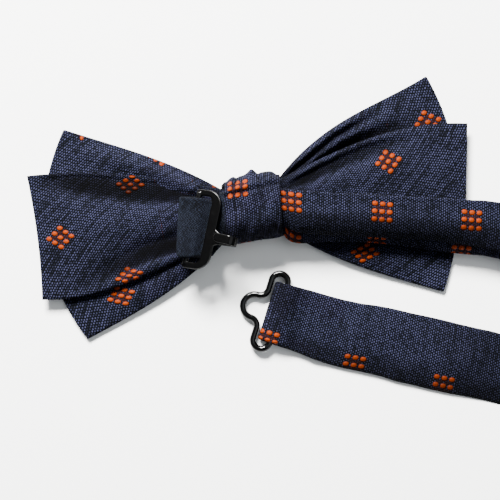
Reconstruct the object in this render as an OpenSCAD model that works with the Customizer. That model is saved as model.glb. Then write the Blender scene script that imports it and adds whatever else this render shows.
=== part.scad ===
// Pre-tied bow tie, lying face down, with its adjustable neckband, hook and eye.
// X runs along the bow, Y towards the top of the bow as worn, Z from the face to the wearer's neck.
// The origin is on the front face of the knot.

/* [Bow] */
// Half length of the front bow at its corners
front_half = 49; // [44:0.2:52]
// Height of the front bow's outer corners above the knot
front_top = 31; // [27:0.5:34]
// Depth of the front bow's outer corners below the knot
front_bottom = 27.5; // [24:0.5:30]
// How far the front bow's ends bulge beyond their corners
front_bulge = 7.6; // [4:0.2:8.4]
// Half length of the rear bow
rear_half = 59; // [56:0.5:62]
// Height of the rear bow's outer corners above the knot
rear_top = 17.4; // [15:0.2:20]
// Depth of the rear bow's outer corners below the knot
rear_bottom = 15.8; // [14:0.2:18]

/* [Knot] */
// Length of the knot along the bow
knot_len = 14.5; // [13:0.5:16]
// Height of the knot
knot_h = 16.8; // [16.8:0.2:18]
// Thickness of the knot, from its face to its back
knot_t = 13.4; // [13.4:0.1:14.5]

/* [Neckband] */
// Width of the band where it lies flat
band_w = 18.5; // [17:0.5:19]
// Thickness of the band, lining included
band_t = 1.0; // [0.8:0.1:1.0]

/* [Hook] */
// Overall length of the hook plate, across the band
hook_len = 21.4; // [21:0.2:23]
// Thickness of the hook's sheet metal
hook_t = 1.1; // [0.9:0.1:1.2]
// Width of the hook's tongue at its bend
tongue_w = 2.4; // [2:0.2:3]

/* [Eye] */
// Diameter of the eye's wire
wire_d = 1.7; // [1.4:0.1:1.7]
// Radius of the nose that takes the hook
nose_r = 3.2; // [3:0.1:3.4]

/* [Adjuster] */
// Diameter of the slide's bars
slide_bar_d = 1.4; // [1.2:0.1:1.4]
// Distance from the slide's middle bar to each end bar
slide_pitch = 5.2; // [5:0.1:6]

/* [Hidden] */

$fn = 48;
gap = 0.03;
cloth = [0.11, 0.12, 0.20];
lining = [0.85, 0.84, 0.80];
thread = [0.10, 0.10, 0.16];
metal = [0.03, 0.03, 0.035];

// Both bows are gathered to this width and height inside the knot.
root_x = 7;
root_y = [-5.4, 7.0];
root_z = [1.75, 4.3, 6.8];
// Each wing: x and y of its upper and its lower corner, the bulge of its end, then how steeply its
// upper and its lower edge leave the knot and reach the corner.
front_left = [-front_half + 1.2, front_top - 0.5, -front_half + 0.4, -front_bottom + 0.2,
              front_bulge + 0.8, 1.42, 0.87, 1.68, 0.7];
front_right = [front_half + 3.6, front_top, front_half - 1.4, -front_bottom - 1,
               front_bulge - 1, 1.98, 0.83, 1.54, 0.81];
rear_left = [-rear_half, rear_top + 1.4, -rear_half, -rear_bottom + 0.4, -0.8, 1.6, 0.1, 1.54, -0.9];
rear_right = [rear_half + 2.2, rear_top - 1.4, rear_half - 3.8, -rear_bottom, 0, 2.3, -1.2, 1.5, -0.5];
// Lowest and highest z of each bow against the share of the way from the knot to its end.
front_z = [[0, root_z[0], root_z[1]], [0.25, 0.8, 3.6], [0.6, 0.2, 2.6], [1, 0, 1.9]];
rear_z = [[0, root_z[1] + 0.05, root_z[2]], [0.12, 4.1, 5.6], [0.25, 3.8, 5.2], [0.45, 3.2, 4.8],
          [0.7, 2.8, 4.2], [1, 2.2, 3.6]];

knot_y = 0.7;
knot_wall = 0.8;
knot_lining = 0.5;
knot_face_r = 2.6;
knot_back_r = 5.5;
knot_back_mid = 7.9;
thread_d = 0.4;

// Hook: place of its pivot bar, plan angle, and tilt of its plate.
hook_at = [-16.7, -2.8, 9.0];
hook_turn = 20;
hook_tilt = 21.4;
hook_bar_r = 0.8;
hook_reach = 5.6;
hook_rail = 2.8;
hook_arm = 1.7;
hook_corner = 4.2;
slot_corner = 1.5;
tongue_v = -1.7;
tongue_turn = -4;
tongue_out = 5;
tongue_back = 2.2;
hook_throat = 1.9;

// Eye: place of its back bar, plan angle, and droop of its nose.
eye_at = [2.9, -28.1, 1.95];
eye_turn = 26;
eye_droop = 5.5;
lobe_r = 2.3;
lobe_v = 8.25;
valley_r = 2.25;

// Straight stretch of band that the adjuster slides on.
run_from = [78, -18.9, 7.2];
run_to = [112, -25.8, 3.2];
run_turn = 11.5;
run_drop = 6.6;
slide_at = 0.41;
loop_wall = 0.7;
slide_bar_drop = 2.0;
slide_rail_w = 1.6;
tail_len = 10;

// ---------- bow ----------

function mix(a, b, t) = a + (b - a) * t;
// Rise from 0 to 1 that starts with slope a and ends with slope b.
function rise(t, a, b) = a * (t - 2 * t * t + t * t * t) + t * t * (3 - 2 * t) + b * (t * t * t - t * t);

// Point of a wing at share t of the way out and share v of the way up.
function wing_xy(w, t, v) = let (s = w[0] < 0 ? -1 : 1,
    top = [mix(s * root_x, w[0], t), mix(root_y[1], w[1], rise(t, w[5], w[6]))],
    bot = [mix(s * root_x, w[2], t), mix(root_y[0], w[3], rise(t, w[7], w[8]))])
    mix(bot, top, v) + [s * w[4] * t * t * 4 * v * (1 - v), 0];

// A layer of a bow: the part of its thickness from share a to share b, inset by a share of its size.
module bow_layer(left, right, z, a, b, inset) {
    nt = 8;
    nv = 8;
    ts = [for (i = [0 : nt]) i / nt * (1 - inset)];
    vs = [for (j = [0 : nv]) mix(inset, 1 - inset, j / nv)];
    rows = concat([for (i = [nt : -1 : 0]) [left, ts[i]]], [for (i = [0 : nt]) [right, ts[i]]]);
    pts = [for (r = rows) let (z0 = lookup(r[1], [for (q = z) [q[0], q[1]]]),
        z1 = lookup(r[1], [for (q = z) [q[0], q[2]]]))
        each concat([for (v = vs) concat(wing_xy(r[0], r[1], v), [mix(z0, z1, a)])],
            [for (j = [nv : -1 : 0]) concat(wing_xy(r[0], r[1], vs[j]), [mix(z0, z1, b)])])];
    polyhedron(pts, ring_faces(len(rows), 2 * (nv + 1)), convexity = 6);
}

// Faces of a tube of n rings of m points. Each ring runs out along one side and back along the other.
function ring_faces(n, m) = concat(
    [for (i = [0 : n - 2], j = [0 : m - 1]) let (a = m * i + j, b = m * i + (j + 1) % m)
        each j < m / 2 ? [[b, a, a + m], [b + m, b, a + m]] : [[b, a, b + m], [a, a + m, b + m]]],
    [for (j = [0 : m / 2 - 2]) each
        [[j, j + 1, m - 1 - j], [m - 1 - j, j + 1, m - 2 - j]]],
    [for (j = [0 : m / 2 - 2]) let (k = m * (n - 1)) each
        [[k + j + 1, k + j, k + m - 1 - j], [k + m - 2 - j, k + j + 1, k + m - 1 - j]]]);

// ---------- knot ----------

// Section of the knot with a wall of it taken off: small corners at its face, large ones at its back.
module knot_block(length, inset) {
    h = knot_h / 2 - inset;
    f = knot_face_r - inset;
    b = knot_back_r - inset;
    z = knot_t - knot_back_r;
    translate([-length / 2, knot_y, 0]) rotate([90, 0, 90]) linear_extrude(length) union() {
        translate([-h + f, inset]) square([2 * (h - f), knot_back_mid - inset]);
        translate([-h, inset + f]) square([2 * h, z - inset - f]);
        translate([-h + b, z - 1]) square([2 * (h - b), knot_t - inset - z + 1]);
        for (y = [-h + f, h - f]) translate([y, inset + f]) circle(f);
        for (y = [-h + b, h - b]) translate([y, z]) circle(b);
    }
}

module knot_wrap() {
    color(cloth) difference() {
        knot_block(knot_len, 0);
        knot_block(knot_len + 1, knot_wall);
    }
}

module knot_interlining() {
    color(lining) difference() {
        knot_block(knot_len - 1, knot_wall + gap);
        knot_block(knot_len + 1, knot_wall + knot_lining);
    }
}

// Slip stitches that close the wrap along the lower side of the knot.
module knot_closing_stitches() {
    count = 6;
    pitch = 2;
    y = knot_y - knot_h / 2 - thread_d / 2 - gap;
    color(thread) for (i = [0 : count - 1])
        translate([(i - (count - 1) / 2) * pitch, y, knot_t / 2 - 1.6])
            rotate([0, 20, 0]) cylinder(h = 1.2, d = thread_d, $fn = 16);
}

// Turns of thread that hold the pleats of both bows together inside the knot.
module gather_thread() {
    count = 5;
    pitch = 1.1;
    size = [root_y[1] - root_y[0], root_z[2] - root_z[0]];
    color(thread) for (i = [0 : count - 1])
        translate([(i - (count - 1) / 2) * pitch, root_y[0], root_z[0]])
            rotate([90, 0, 90]) linear_extrude(thread_d * 0.6) difference() {
                translate([-0.18, -0.18]) square(size + [0.36, 0.36]);
                translate([-gap / 2, -gap / 2]) square(size + [gap, gap]);
            }
}

// ---------- neckband ----------

function hook_pt(u, w, y = 0) = [hook_at[0] + u * cos(band_turn), hook_at[1] - u * sin(band_turn) + y,
    hook_at[2] + w];
function eye_pt(u, w) = [eye_at[0] + u * cos(eye_turn), eye_at[1] - u * sin(eye_turn), w];
function run_pt(t) = run_from + t * (run_to - run_from);

// A row of the band: place, plan angle of its width, roll, width, flat share of the width, then the
// angle that the rest of the width bends down by.
function row(p, a, roll, w, flat = 0.5, cup = 0.5) = [p[0], p[1], p[2], a, roll, w, flat, cup];
// A row given by the place of its upper edge.
function hung(x, y, z, a, w, flat, cup) =
    row([x - w / 2 * sin(a), y - w / 2 * cos(a), z], a, 0, w, flat, cup);
// A row that stands on its lower edge: its middle rises with its roll.
function banked(x, y, a, roll) = row([x, y, 0.6 + band_w / 2 * sin(roll)], a, roll, band_w);

band_turn = 10.5;
loop_w = 1.5;
loop_u = -1.9;
loop_band = 16.2;
fold_u = -1.45;
fold_r = 1.45;
knot_high = 11.1;
knot_low = 9.95;

// Rows of the band's route, from inside the knot, round the hook, through the knot and on to the eye.
hook_loop = concat(
    [hung(0, 5.4, knot_low, 0, 10.4, 0.45, -50), hung(-5, 5.5, knot_low, 4, 10.4, 0.45, -50),
     hung(-8, 5.5, 8.9, 9, 11.6, 0.45, -34), row(hook_pt(5.6, -1.05), 12, 0, 14.2, 0.5, -8),
     row(hook_pt(4.2, -1.3, 0.2), 14, 0, 15.4), row(hook_pt(2, -1.5, 0.4), 12, 0, loop_band),
     row(hook_pt(0, -loop_w, 0.6), band_turn, 0, loop_band)],
    [for (a = [-90 : 30 : 90]) row(hook_pt(loop_u - loop_w * cos(a), loop_w * sin(a), 0.3 - 0.3 * sin(a)),
        band_turn, 0, loop_band)],
    [row(hook_pt(0, loop_w), 13, 0, loop_band), row(hook_pt(1.4, 1.3), 17, 0, loop_band),
     row(hook_pt(2.5, 0.45), 20, 0, 15.8), row(hook_pt(3.3, 0.05), 20, 0, 15.4),
     row(hook_pt(4.6, -0.1), 18, 0, 15), row(hook_pt(5.8, 0.15), 13, 0, 14.4, 0.5, 8),
     hung(-8, 5.2, 10.0, 9, 11.4, 0.46, 34), hung(-5, 5.3, knot_high, 4, 10.6, 0.46, 46)]);
upper_run = [hung(0, 5.1, knot_high, 0, 10.6, 0.46, 48), hung(7.6, 4.3, knot_high, 2, 10.8, 0.46, 50),
     hung(12, 3.1, 11.2, 8, 11.6, 0.46, 47), hung(17, 1.9, 11.3, 11, 12, 0.46, 46),
     hung(25.7, 0.1, 11.1, 11, 12, 0.46, 46), hung(34.5, -1.6, 10.8, 11, 12.2, 0.46, 46),
     hung(43.4, -3.2, 10.3, 11, 12.4, 0.47, 45), hung(52.3, -4.8, 9.6, 11, 12.8, 0.48, 44),
     hung(65.5, -7.6, 8.6, 11.5, 13.4, 0.5, 38), hung(72.5, -9.2, 7.9, 11.5, 16.4, 0.5, 22)];
slide_run = [for (t = [0 : 0.125 : 1]) row(run_pt(t), run_turn, 0, band_w)];
far_loop = [banked(120, -27.5, 12.5, 20), banked(129, -29.8, 15, 46), banked(139, -33, 21, 70),
     banked(148, -38, 38, 82), banked(154.3, -45.4, 64, 85), banked(156, -54.4, 96, 85),
     banked(151.8, -62.6, 130, 85), banked(143, -67.8, 158, 82), banked(132, -69.6, 173, 70),
     banked(120, -69.4, 183, 48), banked(108, -67.4, 189, 24), banked(96, -64.6, 192, 10),
     banked(82, -60.4, 195, 4), banked(70, -55.6, 197, 1), banked(60, -51.4, 198, 0)];
lower_run = [row([49, -47.2, 0.7], 199.5, 0, 18.8), row([38, -43.0, 0.9], 200.5, 0, 18.8),
     row([27.3, -38.7, 1.0], 202, 0, 18.4)];
eye_end = concat(
    [for (p = [[16.5, 1.1, 17.9], [13.6, 1.62, 17.5], [10, 1.65, 17.2], [6.6, 1.9, 17], [3.6, 2.9, 16.6],
        [1.5, 3.4, 16.4], [fold_u, 3.4, 16.4]]) row(eye_pt(p[0], p[1]), 180 + eye_turn, 0, p[2])],
    [for (a = [60 : -30 : -60])
        row(eye_pt(fold_u - fold_r * cos(a), eye_at[2] + fold_r * sin(a)), 180 + eye_turn, 0, 16.4)],
    [row(eye_pt(fold_u, 0.5), 180 + eye_turn, 0, 16.4), row(eye_pt(3, 0.5), 180 + eye_turn, 0, 16.6),
     row(eye_pt(13, 0.5), 180 + eye_turn, 0, 17.2)]);
band_route = concat(hook_loop, upper_run, slide_run, far_loop, lower_run, eye_end);

// The leg that comes back from the hook below the upper run, to the adjuster.
return_drop = 1.65;
return_route = concat(
    [hung(0.02, 5.4, knot_low, 0, 10.4, 0.45, 50), hung(7.6, 4.6, knot_low, 2, 10.4, 0.45, 52)],
    [for (i = [2 : len(upper_run) - 3]) let (r = upper_run[i], w = i == 2 ? 12.2 : 13,
        d = i == 2 ? 1.4 : return_drop)
        row([r[0], r[1] - 0.9 - (w - r[5]) / 2, r[2] - d], r[3], 0, w, 0.28, 50)],
    [row(upper_run[len(upper_run) - 2] * [[1, 0, 0], [0, 1, 0], [0, 0, 1], [0, 0, 0], [0, 0, 0], [0, 0, 0],
        [0, 0, 0], [0, 0, 0]] + [0, -0.9, -1.6], 11.5, 0, 15.2, 0.4, 40),
     row(run_pt(-0.13) + [0, -0.3, -1.4], run_turn, 0, 17, 0.5, 16), row(run_pt(0) + [0, 0, -1.25], run_turn, 0, 17.6),
     row(run_pt(slide_at) - (tail_len + 0.4) * run_dir() + [0, 0, -1.22], run_turn, 0, 17.6)]);

function unit(v) = v / norm(v);
function run_dir() = unit(run_to - run_from);
function place(r) = [r[0], r[1], r[2]];
function across(r) = [sin(r[3]) * cos(r[4]), cos(r[3]) * cos(r[4]), sin(r[4])];

// Section of a row at s, from -1 at its lower edge to 1: offset along its width and up, then bend.
function cupped(r, s) = let (w = r[5], edge = 1 - 2 * r[6],
    bend = w * (1 - r[6]), radius = bend / (r[7] * PI / 180), t = r[7] * max(0, edge - s) / (edge + 1))
    s >= edge ? [s * w / 2, 0, 0] : [edge * w / 2 - radius * sin(t), -radius * (1 - cos(t)), t];

// A layer of the band: from a to b of its thickness above its middle. Its sides stop short by a share
// of the outermost facets of its section.
module band_layer(route, a, b, inset, shorter = 0) {
    n = len(route);
    ss = [-1, -0.72, -0.44, -0.16, 0.12, 0.56, 1];
    pts = [for (i = [0 : n - 1]) let (r = route[i],
        t = unit(place(route[min(i + 1, n - 1)]) - place(route[max(i - 1, 0)])),
        side = across(r), up = unit(cross(t, side)),
        c = place(r) + (i == 0 ? shorter * t : i == n - 1 ? -shorter * t : [0, 0, 0]),
        full = [for (s = ss) cupped(r, s)],
        q = [for (j = [0 : 6]) j == 0 ? mix(full[0], full[1], inset) : j == 6 ? mix(full[6], full[5], inset) :
            full[j]],
        m = [for (k = q) c + k[0] * side + k[1] * up],
        up_at = [for (k = q) cos(k[2]) * up - sin(k[2]) * side])
        each concat([for (j = [0 : 6]) m[j] + a * up_at[j]], [for (j = [6 : -1 : 0]) m[j] + b * up_at[j]])];
    polyhedron(pts, ring_faces(n, 14), convexity = 8);
}

ply = 0.3;
core = band_t / 2 - ply;

module neckband_outer_ply() color(cloth) band_layer(band_route, core, band_t / 2, 0);
module neckband_inner_ply() color(cloth) band_layer(band_route, -band_t / 2, -core, 0);
module neckband_interlining()
    color(lining) band_layer(band_route, -core + 2 * gap, core - 2 * gap, 0.05, 0.4);
module neckband_return_leg() color(cloth) band_layer(return_route, -0.5, 0.5, 0);

// Frame of the adjuster: its middle bar's axis is Y, the band runs along X.
module at_slide()
    translate(run_pt(slide_at)) rotate([0, run_drop, -run_turn]) translate([0, 0, -slide_bar_drop])
        children();

// End of the band, sewn round the adjuster's middle bar.
module neckband_return_end() {
    bore = slide_bar_d / 2 + 0.05;
    outer = bore + loop_wall;
    width = band_w - 0.9;
    color(cloth) at_slide() rotate([90, 0, 0])
        translate([0, 0, -width / 2]) linear_extrude(width) difference() {
            union() {
                circle(outer);
                translate([-tail_len, outer - 1.3]) square([tail_len, 1.3]);
            }
            circle(bore);
        }
}

// A bar tack: short threads side by side across the band.
module bar_tack(count, pitch, length) {
    for (i = [0 : count - 1]) translate([-length / 2, (i - (count - 1) / 2) * pitch, thread_d / 2 + gap])
        rotate([0, 90, 0]) cylinder(h = length, d = thread_d, $fn = 16);
}

module slide_end_stitches() {
    lowest = slide_bar_d / 2 + 0.05 + loop_wall - 1.3;
    color(thread) at_slide() translate([-5, 0, lowest - thread_d - 2 * gap]) bar_tack(20, 0.8, 1.8);
}

module eye_end_stitches()
    color(thread) translate(eye_pt(13.8, 0.3)) rotate([0, 0, -eye_turn]) bar_tack(19, 0.8, 1.3);

// ---------- hardware ----------

module bar(r, length) rotate([90, 0, 0]) translate([0, 0, -length / 2]) cylinder(h = length, r = r);

// Hook plate: a slot for the band, round ends, and an open side that the pivot bar closes.
module hook_plate() {
    outer = hook_len / 2;
    inner = outer - hook_arm;
    right = hook_reach + hook_rail / 2;
    slot = right - hook_rail;
    r = hook_corner;
    q = slot_corner;
    linear_extrude(hook_t) difference() {
        union() {
            translate([0, -outer + r]) square([right, 2 * (outer - r)]);
            translate([0, -outer]) square([right - r, 2 * outer]);
            for (v = [-outer + r, outer - r]) translate([right - r, v]) circle(r);
            for (v = [-outer + hook_arm / 2, outer - hook_arm / 2]) translate([0, v]) circle(hook_arm / 2);
        }
        translate([-2, -inner]) square([slot - q + 2, 2 * inner]);
        translate([-2, -inner + q]) square([slot + 2, 2 * (inner - q)]);
        for (v = [-inner + q, inner - q]) translate([slot - q, v]) circle(q);
    }
}

// Tongue: a leaf that narrows away from the plate, turns back over itself and ends in a round tip.
module hook_tongue() {
    bend = hook_throat / 2 + hook_t;
    w = tongue_w / 2;
    linear_extrude(hook_t) polygon([[-0.4, -w - 1.1], [1.2, -w - 0.3], [tongue_out, -w],
        [tongue_out, w], [1.2, w + 0.3], [-0.4, w + 1.1]]);
    translate([0, 0, hook_t + hook_throat]) linear_extrude(hook_t) union() {
        translate([tongue_back, -w]) square([tongue_out - tongue_back, tongue_w]);
        translate([tongue_back, 0]) circle(w);
    }
    rotate([90, 0, 0]) translate([0, 0, -w]) linear_extrude(tongue_w)
        translate([tongue_out, bend]) intersection() {
            difference() {
                circle(bend);
                circle(hook_throat / 2);
            }
            translate([0, -bend]) square([bend, 2 * bend]);
        }
}

module hook() {
    color(metal) translate(hook_at) rotate([0, 0, -hook_turn]) rotate([0, -hook_tilt, 0]) {
        translate([0, 0, -hook_t / 2]) hook_plate();
        bar(hook_bar_r, hook_len - hook_arm);
        translate([hook_reach + hook_rail / 2, tongue_v, -hook_t / 2])
            rotate([0, 0, tongue_turn]) hook_tongue();
    }
}

// Arc of wire about c, turned to start at angle a, through an angle of b.
module wire_arc(c, r, a, b)
    translate([c[0], c[1], 0]) rotate([0, 0, a]) rotate_extrude(angle = b)
        translate([r, 0]) circle(wire_d / 2, $fn = 24);

// Straight wire along Y.
module wire_leg(c, length)
    translate([c[0], c[1], 0]) rotate([-90, 0, 0]) cylinder(h = length, d = wire_d, $fn = 24);

// The eye: a back bar, two lobes, two valleys and a nose, bent from one wire.
module eye_wire() {
    nose_u = 2 * lobe_r + valley_r;
    valley_v = nose_r + valley_r;
    wire_leg([0, -lobe_v], 2 * lobe_v);
    wire_arc([-nose_u, 0], nose_r, 90, 180);
    wire_arc([-lobe_r, lobe_v], lobe_r, 0, 180);
    wire_arc([-lobe_r, -lobe_v], lobe_r, 180, 180);
    wire_leg([-2 * lobe_r, valley_v], lobe_v - valley_v);
    wire_leg([-2 * lobe_r, -lobe_v], lobe_v - valley_v);
    wire_arc([-nose_u, valley_v], valley_r, -90, 90);
    wire_arc([-nose_u, -valley_v], valley_r, 0, 90);
}

module eye()
    color(metal) translate(eye_at) rotate([0, 0, -eye_turn]) rotate([0, -eye_droop, 0]) eye_wire();

// Three-bar slide: its end bars pass over the band and its middle bar holds the sewn end below it.
module adjuster_slide() {
    rise = slide_bar_drop + band_t / 2 + 0.1 + slide_bar_d / 2;
    inside = band_w + 1;
    rail_y = inside / 2 + slide_rail_w / 2;
    color(metal) at_slide() {
        bar(slide_bar_d / 2, inside + slide_rail_w);
        for (x = [-slide_pitch, slide_pitch]) translate([x, 0, rise]) bar(slide_bar_d / 2, inside + slide_rail_w);
        for (y = [-rail_y, rail_y], x = [-slide_pitch, slide_pitch]) translate([0, y, 0]) hull() {
            bar(slide_bar_d / 2, slide_rail_w, $fn = 32);
            translate([x, 0, rise]) bar(slide_bar_d / 2, slide_rail_w, $fn = 32);
        }
    }
}

module front_bow_face_panel() color(cloth) bow_layer(front_left, front_right, front_z, 0, 0.3, 0);
module front_bow_interlining() color(lining) bow_layer(front_left, front_right, front_z, 0.32, 0.68, 0.02);
module front_bow_back_panel() color(cloth) bow_layer(front_left, front_right, front_z, 0.7, 1, 0);
module rear_bow_face_panel() color(cloth) bow_layer(rear_left, rear_right, rear_z, 0, 0.3, 0);
module rear_bow_interlining() color(lining) bow_layer(rear_left, rear_right, rear_z, 0.32, 0.68, 0.02);
module rear_bow_back_panel() color(cloth) bow_layer(rear_left, rear_right, rear_z, 0.7, 1, 0);

front_bow_face_panel();
front_bow_interlining();
front_bow_back_panel();
rear_bow_face_panel();
rear_bow_interlining();
rear_bow_back_panel();
gather_thread();
knot_interlining();
knot_wrap();
knot_closing_stitches();
neckband_outer_ply();
neckband_interlining();
neckband_inner_ply();
neckband_return_leg();
neckband_return_end();
slide_end_stitches();
eye_end_stitches();
adjuster_slide();
hook();
eye();
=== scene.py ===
import math

import bpy
import numpy as np
from mathutils import Matrix, Vector


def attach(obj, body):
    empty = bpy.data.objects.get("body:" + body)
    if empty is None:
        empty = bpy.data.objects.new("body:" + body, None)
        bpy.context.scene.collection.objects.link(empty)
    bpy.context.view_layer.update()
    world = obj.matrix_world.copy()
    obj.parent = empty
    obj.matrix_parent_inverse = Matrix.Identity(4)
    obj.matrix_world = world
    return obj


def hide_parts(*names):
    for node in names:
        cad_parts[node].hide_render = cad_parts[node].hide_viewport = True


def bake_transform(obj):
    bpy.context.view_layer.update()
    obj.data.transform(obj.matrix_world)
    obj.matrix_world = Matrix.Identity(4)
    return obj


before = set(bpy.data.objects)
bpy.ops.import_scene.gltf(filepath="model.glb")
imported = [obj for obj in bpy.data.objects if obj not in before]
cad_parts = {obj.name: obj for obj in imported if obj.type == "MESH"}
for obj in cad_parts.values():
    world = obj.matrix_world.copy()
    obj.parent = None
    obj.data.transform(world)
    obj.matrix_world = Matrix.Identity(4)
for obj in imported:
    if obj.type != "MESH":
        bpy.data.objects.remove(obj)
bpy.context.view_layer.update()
MM = 0.001
# The body that everything but the hook, the eye and the slide belongs to.
ROOT = "bow_and_band"

# ---------------------------------------------------------------- camera

# The distance and the place that the camera looks at are in mm.
ELEVATION = math.radians(83)
ROLL = math.radians(8.3)
DISTANCE = 321.94
TARGET = Vector((-2.22, -9.68, 0))
right = Vector((math.cos(ROLL), -math.sin(ROLL), 0))
ahead = Vector((math.sin(ROLL), math.cos(ROLL), 0))
back = Vector((-ahead.x * math.cos(ELEVATION), -ahead.y * math.cos(ELEVATION), math.sin(ELEVATION)))
camera = bpy.data.objects.new("camera", bpy.data.cameras.new("camera"))
bpy.context.scene.collection.objects.link(camera)
camera.data.lens = 85
camera.data.sensor_width = 36
camera.data.clip_start = 0.01
turn = Matrix((right, back.cross(right), back)).transposed().to_4x4()
camera.matrix_world = Matrix.Translation((TARGET + back * DISTANCE) * MM) @ turn
bpy.context.scene.camera = camera

# ---------------------------------------------------------------- small helpers


def mix(a, b, t):
    return a + (b - a) * t


def smooth(a, b, x):
    t = min(1.0, max(0.0, (x - a) / (b - a)))
    return t * t * (3 - 2 * t)


def bell(x, width):
    """1 at 0, and close to 0 from twice the width on."""
    return math.exp(-(x / width) ** 2)


def lookup(x, table):
    """Value at x on straight lines between a table's points."""
    for (x0, y0), (x1, y1) in zip(table, table[1:]):
        if x <= x1:
            return mix(y0, y1, max(0.0, (x - x0) / (x1 - x0)))
    return table[-1][1]


def noise(x, y, seed=0):
    """Smooth value noise from -1 to 1."""
    def rnd(i, j):
        n = math.sin(i * 127.1 + j * 311.7 + seed * 74.7) * 43758.5453
        return 2 * (n - math.floor(n)) - 1
    i, j = math.floor(x), math.floor(y)
    u, v = x - i, y - j
    u, v = u * u * (3 - 2 * u), v * v * (3 - 2 * v)
    return mix(mix(rnd(i, j), rnd(i + 1, j), u), mix(rnd(i, j + 1), rnd(i + 1, j + 1), u), v)


def crease(x, y, line, width, depth):
    """A fold along a polyline: a valley if depth is below 0, a ridge if it is above.

    Its width and depth change evenly from the line's start to its end, and it fades at the end.
    """
    best = 0.0
    n = len(line) - 1
    for k in range(n):
        (ax, ay), (bx, by) = line[k], line[k + 1]
        dx, dy = bx - ax, by - ay
        t = ((x - ax) * dx + (y - ay) * dy) / (dx * dx + dy * dy)
        t = min(1.0, max(0.0, t))
        s = (k + t) / n
        d2 = (x - ax - t * dx) ** 2 + (y - ay - t * dy) ** 2
        w = mix(width[0], width[1], s)
        fade = 1 - 0.5 * smooth(0.75, 1.0, s) * (k == n - 1)
        f = mix(depth[0], depth[1], s) * math.exp(-d2 / (w * w)) * fade
        if abs(f) > abs(best):
            best = f
    return best


def add_mesh(name, points, faces, weave, motif, material, body, shade=None):
    """Points are in mm. Weave and motif are the cloth's own coordinates at each point; shade is a factor of
    painted shade on the colour there.
    """
    mesh = bpy.data.meshes.new(name)
    mesh.from_pydata([tuple(c * MM for c in p) for p in points], [], faces)
    mesh.update()
    index = np.zeros(len(mesh.loops), dtype=np.int32)
    mesh.loops.foreach_get("vertex_index", index)
    shade = [(1.0 if shade is None else shade[i], 0.0) for i in range(len(points))]
    for layer, values in (("weave", weave), ("motif", motif), ("shade", shade)):
        uv = mesh.uv_layers.new(name=layer)
        uv.data.foreach_set("uv", np.array(values, dtype=np.float32)[index].ravel())
    mesh.polygons.foreach_set("use_smooth", [True] * len(mesh.polygons))
    mesh.materials.append(material)
    obj = bpy.data.objects.new(name, mesh)
    bpy.context.scene.collection.objects.link(obj)
    if body:
        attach(obj, body)
    return obj


def tube_faces(rings, n, closed_ends=True):
    """Quads between rings of n points; each end is closed across, as a flat ring."""
    faces = []
    for i in range(rings - 1):
        for j in range(n):
            a, b = i * n + j, i * n + (j + 1) % n
            faces.append((a, b, b + n, a + n))
    if closed_ends:
        for base, flip in ((0, True), ((rings - 1) * n, False)):
            for j in range(n // 2 - 1):
                q = (base + j, base + j + 1, base + n - 2 - j, base + n - 1 - j)
                faces.append(q[::-1] if flip else q)
    return faces


# ---------------------------------------------------------------- materials


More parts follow.
